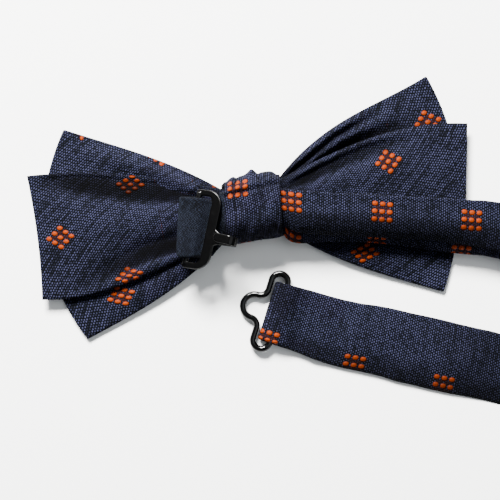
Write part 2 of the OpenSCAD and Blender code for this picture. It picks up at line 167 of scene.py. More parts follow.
class Nodes:
    """Builds a node tree from short calls. A number or a socket can stand for any value."""

    def __init__(self, name):
        self.material = bpy.data.materials.new(name)
        self.material.use_nodes = True
        self.tree = self.material.node_tree
        self.tree.nodes.clear()
        self.out = self.tree.nodes.new("ShaderNodeOutputMaterial")
        self.shader = self.tree.nodes.new("ShaderNodeBsdfPrincipled")
        self.tree.links.new(self.shader.outputs[0], self.out.inputs[0])

    def put(self, socket, value):
        if hasattr(value, "is_output"):
            self.tree.links.new(value, socket)
        elif hasattr(value, "__len__") and len(value) == 3 and len(socket.default_value) == 4:
            socket.default_value = (*value, 1)
        else:
            socket.default_value = value

    def math(self, op, *values, clamp=False):
        node = self.tree.nodes.new("ShaderNodeMath")
        node.operation = op
        node.use_clamp = clamp
        for i, v in enumerate(values):
            self.put(node.inputs[i], v)
        return node.outputs[0]

    def add(self, a, b):
        return self.math("ADD", a, b)

    def sub(self, a, b):
        return self.math("SUBTRACT", a, b)

    def mul(self, a, b, clamp=False):
        return self.math("MULTIPLY", a, b, clamp=clamp)

    def div(self, a, b):
        return self.math("DIVIDE", a, b)

    def oval(self, x, y, half_x, half_y, power=2.0):
        """1 on the edge of an oval round 0, and less inside it."""
        across = self.math("POWER", self.div(x, half_x), power)
        return self.add(across, self.math("POWER", self.div(y, half_y), power))

    def mix(self, f, a, b):
        node = self.tree.nodes.new("ShaderNodeMix")
        node.data_type = "RGBA"
        self.put(node.inputs["Factor"], f)
        self.put(node.inputs[6], a)
        self.put(node.inputs[7], b)
        return node.outputs[2]

    def uv(self, layer):
        node = self.tree.nodes.new("ShaderNodeUVMap")
        node.uv_map = layer
        return self.split(node.outputs[0])[:2]

    def place(self):
        return self.tree.nodes.new("ShaderNodeTexCoord").outputs["Object"]

    def split(self, vector):
        node = self.tree.nodes.new("ShaderNodeSeparateXYZ")
        self.tree.links.new(vector, node.inputs[0])
        return node.outputs[0], node.outputs[1], node.outputs[2]

    def join(self, x, y, z=0.0):
        node = self.tree.nodes.new("ShaderNodeCombineXYZ")
        for i, v in enumerate((x, y, z)):
            self.put(node.inputs[i], v)
        return node.outputs[0]

    def random(self, x, y):
        node = self.tree.nodes.new("ShaderNodeTexWhiteNoise")
        node.noise_dimensions = "2D"
        self.put(node.inputs["Vector"], self.join(x, y))
        return node.outputs["Value"]

    def noise(self, vector, scale, detail=2.0, rough=0.5):
        node = self.tree.nodes.new("ShaderNodeTexNoise")
        self.put(node.inputs["Vector"], vector)
        node.inputs["Scale"].default_value = scale
        node.inputs["Detail"].default_value = detail
        node.inputs["Roughness"].default_value = rough
        return node.outputs["Fac"]

    def ramp(self, f, low, high):
        """0 below low, 1 above high, smooth between."""
        node = self.tree.nodes.new("ShaderNodeMapRange")
        node.interpolation_type = "SMOOTHSTEP"
        self.put(node.inputs["Value"], f)
        self.put(node.inputs["From Min"], low)
        self.put(node.inputs["From Max"], high)
        return node.outputs["Result"]

    def bump(self, height, distance, strength=1.0):
        node = self.tree.nodes.new("ShaderNodeBump")
        node.inputs["Distance"].default_value = distance
        node.inputs["Strength"].default_value = strength
        self.put(node.inputs["Height"], height)
        self.tree.links.new(node.outputs[0], self.shader.inputs["Normal"])

    def set(self, **values):
        for key, v in values.items():
            self.put(self.shader.inputs[key.replace("_", " ")], v)
        return self.material


# Size in mm of one float of the weave, along its thread and from row to row.
JACQUARD_FLOAT = (0.74, 0.58)
TWILL_FLOAT = (0.4, 0.34)
TWILL_STRIPE = 1.6
TWILL_SLOPE = 0.8
# How strongly the slubs, their softer bands and wide patches change how light the floats are.
STREAKS, BANDS, PATCHES = 3.2, 1.8, 0.7
DARKEST_FLOAT = 0.16
FLOAT_WOBBLE = 0.8
CLOTH_ROUGH = 0.85
CLOTH_BUMP = 0.00022
# The squares of dots repeat every 24 mm. Their threads run at 45 degrees to the grid of squares.
CELL = 24.0
CELL_DIAGONAL = 33.94
DOT_STEP = 2.04
DOT_HALF = (0.80, 0.70)
DOT_SQUARENESS = 2.3
DOT_HEIGHT = 2.2
GAP_HALF = (0.95, 0.5)
SLIT_HALF = (0.3, 0.13)
SATIN_RIBS = 30.0
BROWN = (0.010, 0.0028, 0.003)
# Painted shade and painted highlight: the shaded and the lit tone of the orange satin dots.
ORANGE_SHADED = (0.015, 0.0014, 0.0003)
ORANGE_LIT = (0.150, 0.0195, 0.0012)


def floats(n, p, q, size, contrast, slub):
    """How far each float of the weave stands up, how light it is, and a random number for it."""
    row = n.math("FLOOR", n.div(q, size[1]))
    shift = n.mul(n.math("MODULO", n.math("ABSOLUTE", row), 2.0), 0.5)
    wobble = n.mul(n.sub(n.noise(n.join(p, q), 0.8), 0.5), FLOAT_WOBBLE)
    col_at = n.add(n.add(n.div(p, size[0]), shift), wobble)
    col = n.math("FLOOR", col_at)
    rnd = n.random(col, row)
    off = n.sub(n.random(row, col), 0.5)
    # No two floats are quite alike: each is a little out of line, and longer or shorter.
    u = n.sub(n.math("FRACT", col_at), n.add(n.mul(off, 0.2), 0.5))
    v = n.sub(n.math("FRACT", n.div(q, size[1])), n.add(n.mul(off, 0.15), 0.5))
    d2 = n.add(n.mul(n.mul(u, u), 4.4), n.mul(n.mul(v, v), 4.6))
    d2 = n.mul(d2, n.sub(1.12, n.mul(rnd, 0.24)))
    # Slubs: thin dark streaks along the threads, and softer bands of a few rows.
    streak = n.noise(n.join(n.mul(p, 0.085), n.mul(row, 0.83)), 1.0, 2.0, 0.6)
    broad = n.noise(n.join(n.mul(p, 0.07), n.mul(q, 0.42)), 1.0, 2.0, 0.6)
    patch = n.noise(n.join(p, q), 0.13, 2.0, 0.5)
    level = n.add(n.mul(n.sub(streak, 0.5), STREAKS * contrast * slub),
                  n.mul(n.sub(broad, 0.5), BANDS * contrast * slub))
    level = n.add(level, n.mul(n.sub(patch, 0.5), PATCHES))
    level = n.add(level, n.add(n.mul(rnd, 0.75 * contrast), 0.6 - 0.17 * contrast))
    level = n.math("MAXIMUM", level, DARKEST_FLOAT)
    return n.ramp(d2, 0.76, 0.16), level, rnd


def dots(n, color, height):
    """Squares of nine raised satin dots, one at each whole number of the motif's coordinates."""
    cell_x, cell_y = n.uv("motif")
    x = n.mul(n.sub(cell_x, n.math("ROUND", cell_x)), CELL)
    y = n.mul(n.sub(cell_y, n.math("ROUND", cell_y)), CELL)
    nearest_x = n.math("ROUND", n.div(x, DOT_STEP))
    nearest_y = n.math("ROUND", n.div(y, DOT_STEP))
    jitter = n.mul(n.sub(n.random(nearest_x, nearest_y), 0.5), 0.18)
    dot_x = n.math("MAXIMUM", n.math("MINIMUM", nearest_x, 1.0), -1.0)
    dot_y = n.math("MAXIMUM", n.math("MINIMUM", nearest_y, 1.0), -1.0)
    x_in = n.add(n.sub(x, n.mul(dot_x, DOT_STEP)), jitter)
    y_in = n.sub(y, n.mul(dot_y, DOT_STEP))
    rho = n.oval(n.math("ABSOLUTE", x_in), n.math("ABSOLUTE", y_in), *DOT_HALF, DOT_SQUARENESS)
    dot = n.ramp(rho, 1.1, 0.85)
    round_top = n.math("SQRT", n.math("MAXIMUM", n.sub(1.0, n.math("MINIMUM", rho, 1.0)), 0.0))
    # Brown floats show between the rows of dots.
    gap_x = n.mul(n.sub(n.math("FLOOR", n.div(x, DOT_STEP)), -0.5), DOT_STEP)
    gap_y = n.mul(n.sub(n.math("FLOOR", n.div(y, DOT_STEP)), -0.5), DOT_STEP)
    brown = n.ramp(n.oval(n.sub(x, gap_x), n.sub(y, gap_y), *GAP_HALF), 1.15, 0.7)
    inside_x = n.math("LESS_THAN", n.math("ABSOLUTE", x), DOT_STEP)
    inside_y = n.math("LESS_THAN", n.math("ABSOLUTE", y), DOT_STEP)
    brown = n.mul(brown, n.mul(inside_x, inside_y))
    color = n.mix(n.mul(brown, 0.85), color, BROWN)
    # Satin threads lie side by side in each dot, with a dark slit in its middle. Painted shade between the
    # threads and towards the rim, and a painted highlight on the round top.
    threads = n.add(n.mul(n.math("SINE", n.mul(x_in, SATIN_RIBS)), 0.12), 0.88)
    shade = n.mul(threads, n.add(n.mul(round_top, 0.45), 0.6))
    slit = n.ramp(n.oval(x_in, y_in, *SLIT_HALF), 1.3, 0.3)
    shade = n.mul(shade, n.sub(1.0, n.mul(slit, 0.35)))
    color = n.mix(dot, color, n.mix(shade, ORANGE_SHADED, ORANGE_LIT))
    height = n.add(n.mul(height, n.sub(1.0, dot)), n.mul(round_top, DOT_HEIGHT))
    return color, height, dot


def cloth(name, ground, light, motifs=True, herringbone=False, contrast=1.0, slub=1.0):
    """Jacquard weave: light floats over a dark ground, with or without its squares of dots."""
    n = Nodes(name)
    p, q = n.uv("weave")
    size = JACQUARD_FLOAT
    if herringbone:
        # The diagonal of the twill turns back in stripes along p.
        size = TWILL_FLOAT
        q = n.add(q, n.mul(n.math("PINGPONG", p, TWILL_STRIPE), TWILL_SLOPE))
    float_up, level, rnd = floats(n, p, q, size, contrast, slub)
    color = n.mix(n.mul(float_up, level, clamp=True), ground, light)
    height = n.mul(float_up, n.add(n.mul(rnd, 0.5), 0.35))
    rough = CLOTH_ROUGH
    if motifs:
        color, height, dot = dots(n, color, height)
        rough = n.sub(CLOTH_ROUGH, n.mul(dot, 0.35))
    # Painted shade: the shade layer darkens the colour, most in folds and near edges.
    fold, _ = n.uv("shade")
    color = n.mix(fold, (0.0, 0.0, 0.0), color)
    n.bump(height, CLOTH_BUMP)
    return n.set(Base_Color=color, Roughness=rough, Specular_IOR_Level=0.03)


GROUND = (0.0006, 0.0008, 0.0012)
LIGHT = (0.0196, 0.0207, 0.0440)
LOOP_GROUND = (0.0004, 0.0005, 0.0008)
LOOP_LIGHT = (0.0150, 0.0190, 0.0310)
bow_cloth = cloth("bow_jacquard", GROUND, LIGHT)
band_cloth = cloth("band_jacquard", GROUND, LIGHT, slub=0.5)
loop_cloth = cloth("band_herringbone", LOOP_GROUND, LOOP_LIGHT, motifs=False, herringbone=True,
                   contrast=0.7)


# Noise scales, per metre, of the lacquer's orange peel and rubbed patches, and of brushed fibres.
PEEL, WEAR, FIBRE = 2600.0, 420.0, 1800.0
# Turns of the thread's ply, in radians per metre.
PLY = 26000.0


def lacquer(name, rough, dust, coat):
    """Black lacquer on metal, with a faint orange peel and rubbed patches."""
    n = Nodes(name)
    where = n.place()
    fine = n.noise(where, PEEL, 3.0)
    wear = n.ramp(n.noise(where, WEAR, 4.0, 0.65), 0.56, 0.72)
    color = n.mix(n.mul(wear, dust), (0.0002, 0.0002, 0.00025), (0.0012, 0.0012, 0.0014))
    n.bump(fine, 0.00001, 0.5)
    return n.set(Base_Color=color, Roughness=n.add(n.mul(wear, 0.12), rough), Specular_IOR_Level=0.02,
                 Coat_Weight=coat, Coat_Roughness=rough * 0.35)


def plain_thread(name, color):
    """Twisted sewing thread."""
    n = Nodes(name)
    x, y, _ = n.split(n.place())
    ply = n.math("SINE", n.mul(n.add(x, y), PLY))
    # Painted shade: the thread is darker in the grooves between its plies.
    shade = n.add(n.mul(ply, 0.3), 0.7)
    n.bump(ply, 0.00003)
    return n.set(Base_Color=n.mix(shade, (0.0, 0.0, 0.0), color), Roughness=0.7)


def wadding(name):
    """Brushed charcoal interlining."""
    n = Nodes(name)
    fibre = n.noise(n.place(), FIBRE, 4.0, 0.7)
    n.bump(fibre, 0.0001)
    return n.set(Base_Color=n.mix(fibre, (0.012, 0.012, 0.014), (0.05, 0.05, 0.055)), Roughness=0.95)


hook_black = lacquer("hook_lacquer", 0.34, 0.5, 0.22)
wire_black = lacquer("wire_lacquer", 0.26, 0.3, 0.5)
slide_black = lacquer("slide_lacquer", 0.34, 0.5, 0.16)
dark_thread = plain_thread("dark_thread", (0.03, 0.033, 0.07))
lining = wadding("interlining")

# ---------------------------------------------------------------- bow


def rise(t, a, b):
    """A curve from 0 to 1 that leaves with slope a and arrives with slope b."""
    return a * (t - 2 * t * t + t ** 3) + t * t * (3 - 2 * t) + b * (t ** 3 - t * t)


# The wings start at the knot's sides, between these heights in y.
ROOT_X = 7
ROOT_Y = (-5.4, 7.0)
# Left and right wing: its upper corner, its lower corner, how far its end bulges between them, and the
# slopes of its upper and its lower edge at the knot and at the corner.
FRONT = ((-47.8, 30.5, -48.6, -27.3, 8.4, 1.42, 0.87, 1.68, 0.7),
         (52.6, 31.0, 47.6, -28.5, 6.6, 1.98, 0.83, 1.54, 0.81))
REAR = ((-59, 18.8, -59, -15.4, -0.8, 1.6, 0.1, 1.54, -0.9),
        (61.2, 16, 55.2, -15.8, 0, 2.3, -1.2, 1.5, -0.5))
# Heights of the lower and the upper side above the table, from the knot (0) to the end (1).
FRONT_Z = ([(0, 1.75), (0.25, 0.8), (0.6, 0.2), (1, 0)], [(0, 4.3), (0.25, 3.6), (0.6, 2.6), (1, 1.9)])
REAR_Z = ([(0, 4.35), (0.12, 4.1), (0.25, 3.8), (0.45, 3.2), (0.7, 2.8), (1, 2.2)],
          [(0, 6.8), (0.12, 5.6), (0.25, 5.2), (0.45, 4.8), (0.7, 4.2), (1, 3.6)])


def wing_xy(w, t, v):
    """A wing's point at share t from knot to end, and share v from its lower to its upper edge."""
    top_x, top_y, low_x, low_y, bulge, top_a, top_b, low_a, low_b = w
    s = -1 if top_x < 0 else 1
    top = (mix(s * ROOT_X, top_x, t), mix(ROOT_Y[1], top_y, rise(t, top_a, top_b)))
    low = (mix(s * ROOT_X, low_x, t), mix(ROOT_Y[0], low_y, rise(t, low_a, low_b)))
    return (mix(low[0], top[0], v) + s * bulge * t * t * 4 * v * (1 - v), mix(low[1], top[1], v))


# Folds of each wing's back, as lines from the knot outwards: points, widths, heights.
FOLDS = {
    ("front", -1): [
        ([(-15, 8.6), (-30, 17.5), (-42, 22)], (1.8, 4.5), (2.0, 1.6)),
        ([(-12, 6.4), (-32, 12.2), (-52, 18.5)], (1.6, 3.0), (0.6, 0.7)),
        ([(-14, -9), (-30, -17), (-42, -22)], (1.3, 3.2), (0.5, 0.3)),
    ],
    ("front", 1): [
        ([(8, 7.9), (16.5, 13.6), (26, 19.4), (36, 23.2)], (0.75, 1.5), (1.5, 0.9)),
        ([(8.2, 7.3), (17, 12.3), (25, 17.4), (35.5, 21.6)], (0.6, 1.1), (-2.2, -1.2)),
        ([(8.5, 6.9), (17, 11.2), (26, 16.0), (39, 20.4)], (0.7, 1.6), (1.8, 1.0)),
        ([(9, 6.2), (18, 9.6), (28, 13.8), (42, 17.2)], (1.0, 2.6), (-2.6, -1.6)),
        ([(9, -6.6), (20, -12), (34, -17)], (1.2, 3.0), (-0.5, -0.4)),
        ([(12, -9.5), (24, -15), (40, -20.5)], (1.2, 3.4), (0.5, 0.6)),
    ],
    ("rear", -1): [
        ([(-16, 6.8), (-30, 9.6), (-42, 13.2), (-53, 17)], (2.6, 3.4), (-2.6, -1.8)),
        ([(-20, 2), (-36, 2), (-54, 4)], (4.5, 9), (1.5, 0.8)),
        ([(-17, -5.4), (-23, -5.9), (-29, -6.6), (-36, -8.6), (-47, -12.6)], (2.0, 3.2), (-4.2, -0.8)),
        ([(-16, -8.2), (-24, -9.4), (-32, -11.6), (-44, -15)], (1.1, 1.6), (1.1, 0.6)),
        ([(-24, 6), (-34, 5), (-44, 7)], (2.0, 3.2), (-0.35, -0.25)),
    ],
    ("rear", 1): [
        ([(9, 6.2), (20, 10.6), (31, 14.4), (48, 16.4)], (0.8, 1.2), (1.2, 0.7)),
        ([(10, 5.0), (21, 8.4), (32, 11.4), (44, 13.5)], (1.5, 2.8), (-2.2, -0.8)),
        ([(12, 3.6), (30, 6), (50, 6)], (2.6, 8), (0.8, 0.8)),
        ([(12, -6), (26, -11), (40, -13)], (1.5, 2.5), (-0.7, -0.4)),
    ],
}
# Pole that each wing's threads fan out from.
POLES = {
    ("front", -1): (13.7, 3.7),
    ("front", 1): (-13.7, 3.7),
    ("rear", -1): (6.7, -2.7),
    ("rear", 1): (-7, 5),
}
# Distance from the pole at which the threads, and the squares of dots, are their true width apart.
WEAVE_REACH = 45
MOTIF_REACH = 75
REAR_RIGHT_REACH = 48
COS_45 = 0.7071


def fan(key, x, y):
    px, py = POLES[key]
    dx, dy = (x - px) * key[1], y - py
    r = math.hypot(dx, dy)
    return r, math.atan2(dy, dx)


def weave_at(key, x, y):
    r, a = fan(key, x, y)
    lateral = a * math.sqrt(max(r, 1) * WEAVE_REACH)
    return ((r * key[1] + lateral) * COS_45, (lateral - r * key[1]) * COS_45)


# Where a square of dots sits in each wing, for its lower and its upper part, and the radial scale there.
PHASES = {
    ("rear", -1): ((-52.4, 0.5, 0.95), (-52.4, 0.5, 0.95)),
    ("rear", 1): ((38.3, 8.2, 0.98), (38.3, 8.2, 0.98)),
    ("front", -1): ((-38.4, -17.3, 0.95), (-42.4, 29.8, 1.39)),
    ("front", 1): ((28.4, -15.3, 0.95), (51.3, 18.1, 0.95)),
}
# Squares of the front left wing that its folds cut: they lie past an x and a v, and have their own
# place and size.
CUT_SQUARES = ((-15, 0.5, -8.1, 7.4, 28), (-31, 0.75, -22.6, 19.9, CELL_DIAGONAL))
NO_SQUARE = (0.5, 0.5)


def motif_at(key, x, y, v):
    if key == ("rear", -1):
        x += 1.9 * (1 - smooth(-11, -6, y))
    r, a = fan(key, x, y)
    out = []
    for mx, my, k in PHASES[key]:
        r0, a0 = fan(key, mx, my)
        if key == ("rear", 1):
            lateral = (a - a0) * math.sqrt(max(r, 1) * REAR_RIGHT_REACH)
        elif k > 1:
            lateral = (a - a0) * math.sqrt(max(r, 1) * MOTIF_REACH)
        else:
            lateral = a * math.sqrt(max(r, 1) * MOTIF_REACH) - a0 * math.sqrt(r0 * MOTIF_REACH)
        out.append(((r - r0) * k, lateral))
    if key == ("front", 1) and v > 0.5 and x < 40:
        return NO_SQUARE
    if (key == ("rear", 1) and x > 48) or (key == ("rear", -1) and x > -25):
        return NO_SQUARE
    if key == ("front", -1):
        for x_past, v_past, mx, my, size in CUT_SQUARES:
            if x > x_past and v > v_past:
                return ((x - mx + y - my) / size, (x - mx - y + my) / size)
    f = smooth(0.4, 0.6, v)
    dx, dy = mix(out[0][0], out[1][0], f), mix(out[0][1], out[1][1], f)
    return ((dx + dy) / CELL_DIAGONAL, (dx - dy) / CELL_DIAGONAL)


WING_STEPS = 120
FACE_STEPS = 84
# Width of the rolled edge, and half the cloth's thickness there at the knot and at the end.
EDGE_ROLL = 0.75
EDGE_HALF = (0.52, 0.62)
REAR_TOP_EDGE = [wing_xy(REAR[1], i / 20, 1) for i in range(21)]


def bow(name, wings, zs, nodes, end_z):
    """One bow: a flat tube of cloth from end to end, gathered through the knot."""
    key = "front" if name.startswith("front") else "rear"
    span = [i / WING_STEPS for i in range(WING_STEPS + 1)]
    # A last few rings close in, so that the end is a rolled seam.
    ends = [(t, 0.0) for t in span] + [(1.0, 0.35), (1.0, 0.7), (1.0, 0.92), (1.0, 1.0)]
    rows = [(-1, t, c) for t, c in reversed(ends)] + [(1, t, c) for t, c in ends]
    points, weave, motif, shade = [], [], [], []
    for side, t, close in rows:
        w = wings[0] if side < 0 else wings[1]
        z0, z1 = lookup(t, zs[0]), lookup(t, zs[1])
        mid = mix((z0 + z1) / 2, end_z, smooth(0.5, 1, t))
        edge = mix(*EDGE_HALF, t)
        height = abs(wing_xy(w, t, 1)[1] - wing_xy(w, t, 0)[1])
        end_roll = math.sqrt(max(0.0, 1 - close ** 2))
        out = side * 0.45 * math.sin(close * math.pi / 2)
        ring = []
        for j in range(FACE_STEPS + 1):
            v = j / FACE_STEPS
            # Points crowd towards the two folded edges.
            crowded = 0.5 * v + 0.5 * (0.5 - 0.5 * math.cos(math.pi * v))
            v = 0.5 - 0.5 * math.cos(math.pi * crowded)
            x, y = wing_xy(w, t, v)
            from_edge = min(v, 1 - v) * height
            roll = math.sqrt(max(0.0, 1 - max(0.0, 1 - from_edge / EDGE_ROLL) ** 2))
            body = smooth(0, 5, from_edge) * (1 - smooth(0.7, 1.0, t) * 0.75)
            top = mix(mid + edge, z1, body)
            low = mix(mid - edge, z0, body)
            fold = 0.0
            if t > 0.02:
                for line, width, depth in FOLDS[(key, side)]:
                    fold += crease(x, y, line, width, depth)
                fold *= smooth(0.02, 0.16, t)
            # Painted shade: valleys, the edges and the gathers at the knot are darker, and ridges get a
            # painted highlight.
            dark = (1 + 0.25 * smooth(0.2, 1.2, fold)) * math.exp(min(0.0, fold) * 1.05)
            dark *= mix(0.7, 1, smooth(0, 0.8, from_edge)) * mix(0.55, 1, smooth(0.02, 0.3, t))
            if key == "front" and side > 0:
                # Painted shade: darker close above the edge of the rear bow that lies on it.
                above = y - lookup(x, REAR_TOP_EDGE)
                if above > 0 and x < 56:
                    clear = smooth(0, 5.5, above)
                    dark *= mix(0.5, 1, clear + 0.6 * smooth(40, 52, x) * (1 - clear))
            fold += 0.10 * noise(x * 0.16, y * 0.22, 3 + side) + 0.05 * noise(x * 0.5, y * 0.5, 8)
            top += fold * mix(0.35, 1, smooth(0, 2.2, from_edge)) * (1 - 0.6 * smooth(0.93, 1, t))
            low += 0.12 * noise(x * 0.2, y * 0.25, 11 + side) + 0.5 * pleats_below(key, x, y, t)
            top = max(top, mid - edge + 0.5)
            centre = (top + low) / 2 if from_edge > EDGE_ROLL else mid + fold * 0.35
            half_t, half_l = (top - centre) * roll, (centre - low) * roll
            half_t = max(mix(0.05, half_t, end_roll), 0.05 * roll)
            half_l = max(mix(0.05, half_l, end_roll), 0.05 * roll)
            ring.append((x + out, y, centre + half_t, centre - half_l, v, dark))
        for x, y, _, z_low, v, _ in ring:
            shade.append(1.0)
            points.append((x, y, z_low))
            weave.append(weave_at((key, side), x, y))
            motif.append(motif_at((key, side), x, y, v))
        for x, y, z_top, _, v, dark in reversed(ring):
            shade.append(dark)
            points.append((x, y, z_top))
            weave.append(weave_at((key, side), x, y))
            motif.append(motif_at((key, side), x, y, v))
    faces = tube_faces(len(rows), 2 * (FACE_STEPS + 1))
    obj = add_mesh(name, points, faces, weave, motif, bow_cloth, ROOT, shade)
    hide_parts(*nodes)
    return obj


def pleats_below(key, x, y, t):
    """Pleats on the face of a bow: they fan out from the knot and fade towards the ends."""
    r = math.hypot(x, y - 0.8)
    a = math.atan2(y - 0.8, abs(x))
    pleat = math.sin(a * 13 + (0.8 if key == "front" else 0)) * math.exp(-max(0, r - 12) / 16)
    return 0.9 * pleat * smooth(0.03, 0.2, t)


front_bow = bow("front_bow_cloth", FRONT, FRONT_Z,
                ("front_bow_face_panel", "front_bow_interlining", "front_bow_back_panel"), 0.95)
rear_bow = bow("rear_bow_cloth", REAR, REAR_Z,
               ("rear_bow_face_panel", "rear_bow_interlining", "rear_bow_back_panel"), 2.95)

# ---------------------------------------------------------------- knot

# Middle of the knot in y, its height in y, its thickness, its width and its girth.
KNOT_Y, KNOT_H, KNOT_T = 0.7, 16.8, 13.4
KNOT_HALF_W = 7.5
KNOT_GIRTH = 57.0
# Radii of its corners at the table and at the top.
KNOT_R_LOW, KNOT_R_TOP = 2.6, 5.5


def knot_section(s):
    """Point and outward direction at share s round the knot, from the middle of its face, in y and z."""
    h, r0, r1 = KNOT_H / 2, KNOT_R_LOW, KNOT_R_TOP
    parts = [("line", (0, 0), (h - r0, 0)),
             ("arc", (h - r0, r0), r0, -90),
             ("line", (h, r0), (h, KNOT_T - r1)),
             ("arc", (h - r1, KNOT_T - r1), r1, 0),
             ("line", (h - r1, KNOT_T), (0, KNOT_T))]
    lengths = [math.dist(q[1], q[2]) if q[0] == "line" else q[2] * math.pi / 2 for q in parts]
    mirror = s > 0.5
    d = (1 - s if mirror else s) * 2 * sum(lengths)
    for q, length in zip(parts, lengths):
        if d <= length or q is parts[-1]:
            f = min(1, d / length)
            if q[0] == "line":
                y, z = mix(q[1][0], q[2][0], f), mix(q[1][1], q[2][1], f)
                dy, dz = q[2][0] - q[1][0], q[2][1] - q[1][1]
                k = math.hypot(dy, dz)
                ny, nz = dz / k, -dy / k
            else:
                a = math.radians(q[3] + 90 * f)
                ny, nz = math.cos(a), math.sin(a)
                y, z = q[1][0] + q[2] * ny, q[1][1] + q[2] * nz
            break
        d -= length
    return (-y if mirror else y), z, (-ny if mirror else ny), nz


def knot():
    """Wrap of the knot: a closed sleeve with soft pleats, its sides turned under."""
    ns, nx, half = 240, 64, KNOT_HALF_W
    outer = [(mix(-half, half, i / nx), 0.0) for i in range(nx + 1)]
    hem = [(half + 0.04, 0.3), (half - 0.05, 0.62), (half - 0.2, 1.4), (half - 0.5, 1.4)]
    profile = ([(-x, d) for x, d in reversed(hem)] + outer + hem
               + [(mix(half - 0.55, 0.55 - half, i / 8), 0.76) for i in range(9)])
    points, weave, motif, shade = [], [], [], []
    for x, depth in profile:
        for j in range(ns):
            s = j / ns
            y, z, ny, nz = knot_section(s)
            e = abs(x) / half
            behind, top, low = smooth(5, 11, z), smooth(2, 6.5, y), smooth(-2, -6.5, y)
            swell = -0.3 * smooth(0.7, 1.0, e) - 0.5 * smooth(0.74, 1.0, e) * top
            fold = 0.22 * noise(x * 0.35, s * 14, 5) + 0.07 * noise(x * 0.9, s * 40, 6)
            # The cloth stands up in a peak on the upper side, with a lower one on each side of it.
            fold += 1.7 * math.exp(-(abs(x - 0.2) / 1.8) ** 1.6) * bell(z - 9.2, 2.8) * (y > 4)
            fold += 0.5 * bell(abs(x) - 4.6, 1.4) * bell(z - 9.6, 2.6) * (y > 4)
            # Two creases run down from the peaks, and a ridge and a valley run across below them.
            fold -= 0.75 * bell(x - 1.9 - 0.35 * (8 - y), 0.55) * top * behind
            fold -= 0.7 * bell(x + 4.1 + 0.3 * (8 - y), 0.5) * top * behind
            fold += 0.35 * bell(y - 5.1 - 0.15 * x, 0.7) * behind
            fold -= 0.5 * bell(y - 3.9 - 0.12 * x, 0.6) * behind
            # Small tucks gather along the lower side.
            fold += 0.6 * math.sin(x * 1.5 + 2.4) * bell(z - 8.6, 3.0) * low
            fold += 0.16 * math.sin(x * 0.9 + s * 30) * behind * (1 - top)
            fold = max(fold, -0.5)
            k = max(swell + fold, -0.72) * (1 if depth < 0.4 else 0.6) - depth
            if depth > 0.7:
                k = -depth
            if z < 2 and abs(y) < 7:
                k = min(k, -depth - 0.02)
            lean = 0.1 * y * smooth(3, 9, z)
            points.append((x + lean, KNOT_Y + y + ny * k, max(z + nz * k, 0.02 + depth)))
            weave.append((s * KNOT_GIRTH, x + 0.4 * math.sin(s * 20)))
            motif.append(((s - 0.411) * KNOT_GIRTH / CELL, (x + 3.8) / CELL))
            # Painted shade: creases, the turned-under sides and the lower part of the top are darker.
            dark = math.exp(min(0.0, fold) * 0.9)
            shade.append(dark * mix(1, 0.5, smooth(0.86, 1, e)) * mix(1, 0.6, low * behind))
    faces = tube_faces(len(profile), ns, closed_ends=False)
    last = (len(profile) - 1) * ns
    faces += [(last + j, last + (j + 1) % ns, (j + 1) % ns, j) for j in range(ns)]
    obj = add_mesh("knot_wrap_cloth", points, faces, weave, motif, bow_cloth, ROOT, shade)
    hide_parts("knot_wrap")
    return obj


knot_cloth = knot()

# ---------------------------------------------------------------- neckband

# Middles of the hook's and the eye's bars.
HOOK_AT = (-16.7, -2.8, 9.0)
EYE_AT = (2.9, -28.1, 1.95)
# The straight run that the slide travels on, and the slide's share of the way along it at rest.
RUN_FROM, RUN_TO = (78, -18.9, 7.2), (112, -25.8, 3.2)
SLIDE_AT = 0.41
# How far the band is turned clockwise from x at the hook, at the eye and on the run, in degrees.
BAND_TURN, EYE_TURN, RUN_TURN = 10.5, 26, 11.5
EYE_ROW_TURN = 180 + EYE_TURN
BAND_W = 18.5
# How much lower the far loop lies than the rest of the band.
SETTLE = 0.42
# Radii of the band's middle round the hook's bar and round the eye's bar.
HOOK_BEND, EYE_BEND = 1.5, 1.45


def polar(at, turn, u, z, y=0):
    """A point u from the given one, along the band's turn there."""
    a = math.radians(turn)
    return (at[0] + u * math.cos(a), at[1] - u * math.sin(a) + y, z)


def hook_pt(u, w, y=0.0):
    return polar(HOOK_AT, BAND_TURN, u, HOOK_AT[2] + w, y)


def eye_pt(u, w):
    return polar(EYE_AT, EYE_TURN, u, w)


def run_pt(t):
    return tuple(mix(a, b, t) for a, b in zip(RUN_FROM, RUN_TO))


def row(p, turn, roll, w, flat=0.5, cup=0.5):
    """A row of the band: its middle, turn and roll, its width, and how its lower share bends over."""
    return (*p, turn, roll, w, flat, cup)


def hung(x, y, z, turn, w, flat, cup):
    """A row given by its upper edge."""
    a = math.radians(turn)
    return row((x - w / 2 * math.sin(a), y - w / 2 * math.cos(a), z), turn, 0, w, flat, cup)


def banked(x, y, turn, roll):
    """A row that stands on its lower edge, rolled outwards."""
    a = math.radians(roll)
    # Past the slide's reach the lower edge settles on the floor.
    gap = 0.1 - SETTLE * smooth(-40, -55, y)
    return row((x, y, 0.4 * math.cos(a) + gap + BAND_W / 2 * math.sin(a)), turn, roll, BAND_W)


def on_arc(a, radius):
    """A point on the half round of a loop, at an angle in degrees."""
    return radius * math.cos(math.radians(a)), radius * math.sin(math.radians(a))


